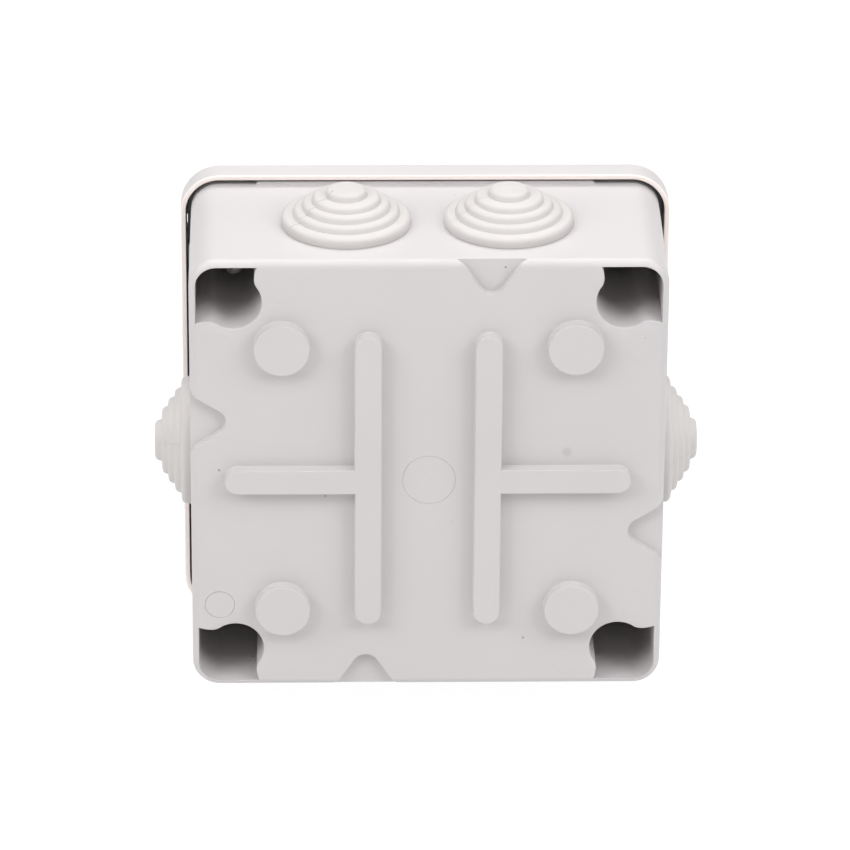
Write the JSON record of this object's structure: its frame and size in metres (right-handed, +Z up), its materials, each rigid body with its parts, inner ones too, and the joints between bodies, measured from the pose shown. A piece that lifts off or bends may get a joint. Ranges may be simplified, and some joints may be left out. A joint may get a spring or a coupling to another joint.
{
  "type": "electrical junction box",
  "caption": "Square surface-mounted electrical junction box with a screwed lid, stepped rubber cable grommets and open corner posts behind the lid screws.",
  "frame": {"origin": "middle of the wall plane that the rear ribs and pads touch", "axes": "+Y into the wall, +Z up as hung, lid's face towards -Y"},
  "size_m": [0.0942, 0.04, 0.0942],
  "materials": {
    "shell": "fine satin moulded ABS, light grey",
    "grommet": "soft light grey elastomer, matt",
    "gasket": "closed-cell foam rubber",
    "screw": "bright zinc plate",
    "screw_seal": "moulded rubber, matt"
  },
  "bodies": {
    "base": {"base": "shell", "grommet_top_left": "grommet", "grommet_top_right": "grommet", "grommet_bottom_left": "grommet", "grommet_bottom_right": "grommet", "grommet_left": "grommet", "grommet_right": "grommet"},
    "lid": {"lid": "shell", "lid_gasket": "gasket"},
    "seal_top_left": {"screw_seal_top_left": "screw_seal"},
    "seal_top_right": {"screw_seal_top_right": "screw_seal"},
    "seal_bottom_left": {"screw_seal_bottom_left": "screw_seal"},
    "seal_bottom_right": {"screw_seal_bottom_right": "screw_seal"},
    "screw_top_left": {"screw_top_left": "screw"},
    "screw_top_right": {"screw_top_right": "screw"},
    "screw_bottom_left": {"screw_bottom_left": "screw"},
    "screw_bottom_right": {"screw_bottom_right": "screw"}
  },
  "joints": [
    {"name": "lid_lift", "type": "slide", "parent": "base", "child": "lid", "axis": [0, -1, 0], "range_m": [0, 0.045]},
    {"name": "screw_top_left_slide", "type": "slide", "parent": "lid", "child": "seal_top_left", "axis": [0, -1, 0], "range_m": [-0.00385, 0.01287]},
    {"name": "screw_top_right_slide", "type": "slide", "parent": "lid", "child": "seal_top_right", "axis": [0, -1, 0], "range_m": [0, 0.01672]},
    {"name": "screw_bottom_left_slide", "type": "slide", "parent": "lid", "child": "seal_bottom_left", "axis": [0, -1, 0], "range_m": [0, 0.01672]},
    {"name": "screw_bottom_right_slide", "type": "slide", "parent": "lid", "child": "seal_bottom_right", "axis": [0, -1, 0], "range_m": [0, 0.01672]},
    {"name": "screw_top_left_turn", "type": "hinge", "parent": "seal_top_left", "child": "screw_top_left", "pos_m": [-0.0332, -0.0345, 0.0332], "axis": [0, -1, 0], "range_deg": [-1262, 4214]},
    {"name": "screw_top_right_turn", "type": "hinge", "parent": "seal_top_right", "child": "screw_top_right", "pos_m": [0.0332, -0.0345, 0.0332], "axis": [0, -1, 0], "range_deg": [0, 5474]},
    {"name": "screw_bottom_left_turn", "type": "hinge", "parent": "seal_bottom_left", "child": "screw_bottom_left", "pos_m": [-0.0332, -0.0345, -0.0332], "axis": [0, -1, 0], "range_deg": [0, 5474]},
    {"name": "screw_bottom_right_turn", "type": "hinge", "parent": "seal_bottom_right", "child": "screw_bottom_right", "pos_m": [0.0332, -0.0345, -0.0332], "axis": [0, -1, 0], "range_deg": [0, 5474]}
  ],
  "couplings": [
    {"joint": "screw_top_left_turn", "follows": "screw_top_left_slide", "rad_per_m": 5712},
    {"joint": "screw_top_right_turn", "follows": "screw_top_right_slide", "rad_per_m": 5712},
    {"joint": "screw_bottom_left_turn", "follows": "screw_bottom_left_slide", "rad_per_m": 5712},
    {"joint": "screw_bottom_right_turn", "follows": "screw_bottom_right_slide", "rad_per_m": 5712}
  ]
}
